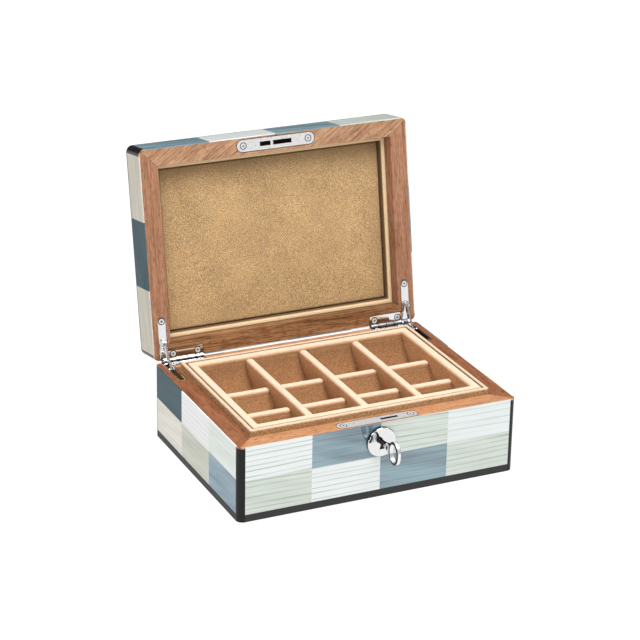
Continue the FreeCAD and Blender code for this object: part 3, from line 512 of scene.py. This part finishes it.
# plating that looks along the front picks up the dark of the room: the disc's wall, the shank, and the flat sides of the lug and bow
for node in ("escutcheon", "key"):
    o = dress(node, CHROME, SHADE_CHROME, BOW_CHROME)
    for p in o.data.polygons:
        c, n = p.center, p.normal
        r = math.hypot(c.x, c.z - 0.0524)
        if node == "escutcheon":
            p.material_index = 1 if r > 0.0125 and abs(n.y) < 0.5 or r < 0.009 and abs(n.y) < 0.5 else 0
        else:
            p.material_index = 1 if c.y < -0.1124 and abs(n.x) > 0.2 or c.y > -0.1050 or c.y > -0.1124 and abs(n.x) < 0.7 else 2
for node in N:
    if node.startswith(("base_", "lid_")) and node.endswith(("_wall", "_board")):
        dress(node, BOARD)
dress("underside_felt", FELT)


# --- soft pieces -------------------------------------------------------------------------------------
def make(name, verts, faces, mat, body, replaced, to_open=False, smooth=True):
    me = bpy.data.meshes.new(name)
    v = [Vector(p) for p in verts]
    if to_open:
        v = [OPEN @ p for p in v]
    me.from_pydata(v, [], faces)
    me.validate()
    bm = bmesh.new()
    bm.from_mesh(me)
    bmesh.ops.recalc_face_normals(bm, faces=bm.faces)
    bm.to_mesh(me)
    bm.free()
    me.polygons.foreach_set("use_smooth", [smooth] * len(me.polygons))
    me.materials.append(mat)
    o = bpy.data.objects.new(name, me)
    bpy.context.scene.collection.objects.link(o)
    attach(o, body)
    if replaced:
        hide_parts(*replaced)
    return o


def wobble(p, amount, scale=45.0):
    """A hand-glued unevenness of a fraction of a millimetre."""
    return Vector((noise.noise(Vector(p) * scale), noise.noise(Vector(p) * scale + Vector((7.1, 0, 0))),
                   noise.noise(Vector(p) * scale + Vector((0, 3.7, 0))))) * amount


def roll(w, z0, z1, r_out, r_in, n=6):
    """Section of a covered board: (distance in from its outer face, height), rolled over at both top edges."""
    pts = [(0.0, z0), (0.0, z0 + (z1 - z0) * 0.5)]
    pts += [(r_out - r_out * math.cos(a), z1 - r_out + r_out * math.sin(a)) for a in [math.pi / 2 * i / n for i in range(n + 1)]]
    pts += [(w - r_in + r_in * math.sin(a), z1 - r_in + r_in * math.cos(a)) for a in [math.pi / 2 * i / n for i in range(n + 1)]]
    pts += [(w, z0 + (z1 - z0) * 0.5), (w, z0)]
    return pts


def loop(hx, hy, r, seg=5, runs=14):
    """A rectangle with rounded corners, always with the same number of points."""
    pts = []
    for cx, cy, a0 in ((hx - r, hy - r, 0.0), (-hx + r, hy - r, 90.0), (-hx + r, -hy + r, 180.0), (hx - r, -hy + r, 270.0)):
        for i in range(seg + 1):
            a = math.radians(a0 + 90.0 * i / seg)
            pts.append((cx + r * math.cos(a), cy + r * math.sin(a)))
    out = []
    k = seg + 1
    for c in range(4):
        out += pts[c * k:(c + 1) * k]
        a, b = pts[c * k + seg], pts[((c + 1) * k) % len(pts)]
        out += [(a[0] + (b[0] - a[0]) * t / runs, a[1] + (b[1] - a[1]) * t / runs) for t in range(1, runs)]
    return out


def covered_frame(name, hx, hy, corner, section, mat, body, replaced, to_open=False, flip=False, uneven=0.00012, inner=0.0006):
    """A frame of covered boards: one section carried round a rectangle."""
    verts, faces = [], []
    rings = []
    for u, z in section:
        pts = loop(hx - u, hy - u, max(corner - u, inner))
        rings.append([len(verts) + i for i in range(len(pts))])
        for p in pts:
            q = Vector((p[0], p[1], z))
            verts.append(q + wobble(q, uneven))
    n = len(rings[0])
    m = len(rings)
    for a in range(m):
        b = (a + 1) % m
        for i in range(n):
            j = (i + 1) % n
            faces.append((rings[a][i], rings[a][j], rings[b][j], rings[b][i]))
    return make(name, verts, faces, mat, body, replaced, to_open)


def covered_bars(name, boxes, radius, ends, mat, body, replaced, uneven=0.00012, step=0.004, segments=4):
    """Covered divider boards with rolled tops. ends: whether the ends are rolled as well."""
    bm = bmesh.new()
    for lo, hi in boxes:
        lo, hi = Vector(lo), Vector(hi)
        got = bmesh.ops.create_cube(bm, size=1.0)["verts"]
        for v in got:
            v.co = Vector([(lo[i] + hi[i]) / 2 + v.co[i] * (hi[i] - lo[i]) for i in range(3)])
        long_axis = 0 if hi.x - lo.x > hi.y - lo.y else 1
        edges = set()
        for v in got:
            for e in v.link_edges:
                a, b = e.verts
                d = b.co - a.co
                top = min(a.co.z, b.co.z) > hi.z - 1e-6
                upright = abs(d.z) > 1e-6
                lengthways = abs(d[long_axis]) > 1e-6 and not upright
                if (top and (lengthways or ends)) or (upright and ends):
                    edges.add(e)
        bmesh.ops.bevel(bm, geom=list(edges), offset=radius, segments=segments, profile=0.5, affect="EDGES", clamp_overlap=True)
    # cross cuts, so that the cover can be uneven along the board
    for axis in (0, 1):
        for lo, hi in boxes:
            if (hi[axis] - lo[axis]) < 0.02:
                continue
            k = max(2, int((hi[axis] - lo[axis]) / step))
            for i in range(1, k):
                at = lo[axis] + (hi[axis] - lo[axis]) * i / k
                near = [f for f in bm.faces if all(lo[q] - 0.001 < f.calc_center_median()[q] < hi[q] + 0.001 for q in range(3))]
                geom = near + list({e for f in near for e in f.edges}) + list({v for f in near for v in f.verts})
                nrm = Vector((1, 0, 0)) if axis == 0 else Vector((0, 1, 0))
                bmesh.ops.bisect_plane(bm, geom=geom, plane_co=nrm * at, plane_no=nrm)
    bmesh.ops.recalc_face_normals(bm, faces=bm.faces)
    for v in bm.verts:
        v.co += wobble(v.co, uneven)
    me = bpy.data.meshes.new(name)
    bm.to_mesh(me)
    bm.free()
    me.polygons.foreach_set("use_smooth", [True] * len(me.polygons))
    me.materials.append(mat)
    o = bpy.data.objects.new(name, me)
    bpy.context.scene.collection.objects.link(o)
    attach(o, body)
    if replaced:
        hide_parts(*replaced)
    return o


def spread(h, edge, n_mid):
    """Stations from -h to h, closer together near both ends."""
    e = [edge * t for t in (0.0, 0.06, 0.2, 0.42, 0.7, 1.0)]
    mid = [-h + edge + (2 * h - 2 * edge) * i / n_mid for i in range(1, n_mid)]
    return [-h + t for t in e] + mid + [h - t for t in reversed(e)]


def pillow(name, hx, hy, z_back, z_top, edge, crown, mat, body, replaced, at=(0.0, 0.0), to_open=False, step=0.008, uneven=0.0002, flip=False):
    """A padded board: crowned in the middle, its cover rolled over the edges. flip: it faces down."""
    xs = spread(hx, edge, max(3, int(2 * hx / step)))
    ys = spread(hy, edge, max(3, int(2 * hy / step)))
    sgn = -1.0 if flip else 1.0
    thick = abs(z_top - z_back)
    verts, faces = [], []

    def drop(d):
        t = min(1.0, max(0.0, d / edge))
        return edge * (1.0 - math.sqrt(max(0.0, 1.0 - (1.0 - t) ** 2)))

    nx, ny = len(xs), len(ys)
    for y in ys:
        for x in xs:
            d = min(drop(hx - abs(x)) + drop(hy - abs(y)), thick - 0.0004)
            c = crown * (1 - (x / hx) ** 2) * (1 - (y / hy) ** 2)
            z = thick - crown - d + c + noise.noise(Vector((x, y, 0.3)) * 38.0) * uneven
            verts.append((x + at[0], y + at[1], z_back + sgn * z))
    for j in range(ny - 1):
        for i in range(nx - 1):
            a = j * nx + i
            faces.append((a, a + 1, a + nx + 1, a + nx))
    # the back and the short sides
    rim = [i for i in range(nx)] + [j * nx + nx - 1 for j in range(1, ny)] + [(ny - 1) * nx + i for i in range(nx - 2, -1, -1)] + [j * nx for j in range(ny - 2, 0, -1)]
    low = []
    for i in rim:
        low.append(len(verts))
        verts.append((verts[i][0], verts[i][1], z_back))
    for k in range(len(rim)):
        l = (k + 1) % len(rim)
        faces.append((rim[k], rim[l], low[l], low[k]))
    faces.append(tuple(low))
    o = make(name, verts, faces, mat, body, replaced, to_open)
    return o


IN_X, IN_Y = 0.1125, 0.0780
LX, LY = 0.1085, 0.0740
FLOOR = 0.0068
LIP_TOP = 0.0750
covered_frame("suede_lip_liner", IN_X, IN_Y, 0.0022, roll(0.0040, FLOOR, LIP_TOP, 0.0019, 0.0019), SUEDE_LIP, "base", ["base_liner"], uneven=0.00008)
TX, TY = 0.1079, 0.0734
tx, ty = 0.0999, 0.0654
TRAY_BOTTOM, TRAY_TOP, LONG_TOP, CROSS_TOP = 0.0414, 0.0748, 0.0732, 0.0667
DIV = 0.0075
covered_frame("suede_tray_walls", TX, TY, 0.0018, roll(0.0080, TRAY_BOTTOM, TRAY_TOP, 0.0020, 0.0030), SUEDE_TRAY, "tray",
              ["tray_front_wall", "tray_back_wall", "tray_left_wall", "tray_right_wall"], uneven=0.00008)
cell = (2 * tx - 3 * DIV) / 4
cols = [(-tx + i * (cell + DIV), -tx + i * (cell + DIV) + cell) for i in range(4)]
TF = TRAY_BOTTOM + 0.003
covered_bars("suede_long_dividers", [((cols[i][1], -ty + 0.0001, TF - 0.001), (cols[i + 1][0], ty - 0.0001, LONG_TOP)) for i in range(3)], 0.0026, True,
             SUEDE, "tray", ["tray_long_dividers"])
CROSS = (-0.0318, 0.0128)
covered_bars("suede_cross_dividers", [((a + 0.0001, c - DIV / 2, TF - 0.001), (b - 0.0001, c + DIV / 2, CROSS_TOP)) for a, b in cols for c in CROSS], 0.0026, True,
             SUEDE, "tray", ["tray_cross_dividers"])
rows = [(-ty, CROSS[0] - DIV / 2), (CROSS[0] + DIV / 2, CROSS[1] - DIV / 2), (CROSS[1] + DIV / 2, ty)]
for i, (a, b) in enumerate(cols):
    for j, (c, d) in enumerate(rows):
        pillow("cell_pad_%d_%d" % (i + 1, j + 1), (b - a) / 2 + 0.0004, (d - c) / 2 + 0.0004, TRAY_BOTTOM, TF, 0.0012, 0.0004, SUEDE, "tray",
               ["tray_floor"] if i == j == 0 else None, at=((a + b) / 2, (c + d) / 2), step=0.005)


def sloped_backs(name, cells, mat, body, replaced, n=10, step=0.005, sag=0.0012):
    """Covered boards that slope from the back of each cell down to its floor, a little hollow in the middle."""
    verts, faces = [], []
    for a, b, y, top, run in cells:
        a, b = a + 0.0001, b - 0.0001
        k = max(3, int((b - a) / step))
        rows = []
        for i in range(k + 1):
            x = a + (b - a) * i / k
            row = []
            for j in range(n + 1):
                t = j / n
                q = Vector((x, y - 0.0001 - (run - 0.0001) * t, top + (TF - top) * t - sag * math.sin(math.pi * t)))
                row.append(len(verts))
                verts.append(q + (wobble(q, 0.00012) if 0 < j < n else Vector()))
            row.append(len(verts))
            verts.append(Vector((x, y - 0.0001, TF)))
            rows.append(row)
        for r, q in zip(rows, rows[1:]):
            for j in range(n + 2):
                l = (j + 1) % (n + 2)
                faces.append((r[j], r[l], q[l], q[j]))
        faces.append(tuple(rows[0]))
        faces.append(tuple(reversed(rows[-1])))
    return make(name, verts, faces, mat, body, replaced)


SLOPES = ((0.0630, 0.0150), (0.0630, 0.0210), (0.0715, 0.0235))
sloped_backs("suede_cell_slopes", [(a, b, d, *slope) for a, b in cols for (c, d), slope in zip(rows, SLOPES)], SUEDE_SLOPE, "tray", ["tray_cell_slopes"])
covered_bars("suede_tray_rails", [((s * LX - (0.006 if s > 0 else 0.0), -LY, FLOOR), (s * LX + (0.0 if s > 0 else 0.006), LY, 0.0413)) for s in (-1, 1)], 0.0012, False,
             SUEDE, "base", ["tray_rails"], uneven=0.0)
pillow("suede_floor_pad", LX - 0.006, LY, FLOOR, FLOOR + 0.003, 0.0014, 0.0004, SUEDE, "base", ["floor_pad"])

# lid: built as shut, then carried open
LIDX, LIDY = 0.1132, 0.0789
zr, zb, zp = Z0 + 0.011, Z0 + 0.0243, Z0 + 0.0155
strip = [(u, zr + zb - z) for u, z in roll(0.0050, zr, zb, 0.0018, 0.0020)]
covered_frame("suede_lid_strips", LIDX, LIDY, 0.0008, strip, SUEDE_STRIP, "lid", ["lid_suede_strips"], to_open=True, uneven=0.00008)
pillow("suede_lid_pad", LIDX - 0.0054, LIDY - 0.0054, zb, zp, 0.0022, 0.0007, SUEDE_LID, "lid", ["lid_pad"], to_open=True, flip=True)


# --- floor, light and camera -----------------------------------------------------------------------
def area(name, at, look, size, power, colour=(1, 1, 1)):
    l = bpy.data.lights.new(name, "AREA")
    l.shape = "RECTANGLE"
    l.size, l.size_y = size
    l.energy = power
    l.color = colour
    o = bpy.data.objects.new(name, l)
    o.location = at
    o.rotation_euler = (Vector(look) - Vector(at)).to_track_quat("-Z", "Y").to_euler()
    bpy.context.scene.collection.objects.link(o)
    return o


me = bpy.data.meshes.new("floor")
me.from_pydata([(-8, -8, 0), (8, -8, 0), (8, 8, 0), (-8, 8, 0)], [], [(0, 1, 2, 3)])
floor = bpy.data.objects.new("floor", me)
bpy.context.scene.collection.objects.link(floor)
f = Tree("pale_floor")
me.materials.append(f.set(Base_Color=(0.10, 0.10, 0.10), Roughness=0.9, Specular_IOR_Level=0.0, Emission_Color=(1.0, 1.0, 1.0), Emission_Strength=1.0))

area("top_softbox", (-0.10, -0.42, 1.5), (0, 0.0, 0.05), (1.7, 1.1), 27.0)
area("front_softbox", (-1.1, -1.9, 1.15), (0, 0, 0.1), (1.3, 1.1), 12.0)
area("right_fill", (1.7, -1.0, 0.9), (0, 0, 0.1), (1.0, 1.2), 4.0)

# a pale sky that darkens towards the horizon
world = bpy.data.worlds.new("studio")
bpy.context.scene.world = world
world.use_nodes = True
wt = world.node_tree
bg = wt.nodes["Background"]
wc = wt.nodes.new("ShaderNodeTexCoord")
ws = wt.nodes.new("ShaderNodeSeparateXYZ")
wr = wt.nodes.new("ShaderNodeValToRGB")
wt.links.new(wc.outputs["Generated"], ws.inputs[0])
wt.links.new(ws.outputs[2], wr.inputs[0])
wt.links.new(wr.outputs[0], bg.inputs[0])
for e, (pos, c) in zip([wr.color_ramp.elements[0], wr.color_ramp.elements[1], wr.color_ramp.elements.new(0.5)],
                       ((0.05, (0.04, 0.04, 0.042)), (0.80, (0.55, 0.56, 0.58)), (0.35, (0.10, 0.10, 0.105)))):
    e.position = pos
    e.color = (*c, 1.0)
bg.inputs[1].default_value = 0.9

AZ, EL, DIST, ROLL, FOCAL = -0.4426597, 0.3905527, 1.9878382, -0.0186255, 2309.5047
TARGET = Vector((-0.0137618, 0.0, 0.1286137))
back = Vector((math.sin(AZ) * math.cos(EL), -math.cos(AZ) * math.cos(EL), math.sin(EL)))
right = Vector((math.cos(AZ), math.sin(AZ), 0.0))
up = back.cross(right)
cx = right * math.cos(ROLL) - up * math.sin(ROLL)
cy = right * math.sin(ROLL) + up * math.cos(ROLL)
cam = bpy.data.cameras.new("camera")
cam.sensor_width = 36.0
cam.lens = FOCAL * 36.0 / 640.0
cam.clip_start, cam.clip_end = 0.05, 50.0
co = bpy.data.objects.new("camera", cam)
m = Matrix((cx, cy, back)).transposed().to_4x4()
m.translation = TARGET + back * DIST
co.matrix_world = m
bpy.context.scene.collection.objects.link(co)
bpy.context.scene.camera = co

bpy.context.scene.view_settings.view_transform = "Standard"
bpy.context.scene.view_settings.look = "None"
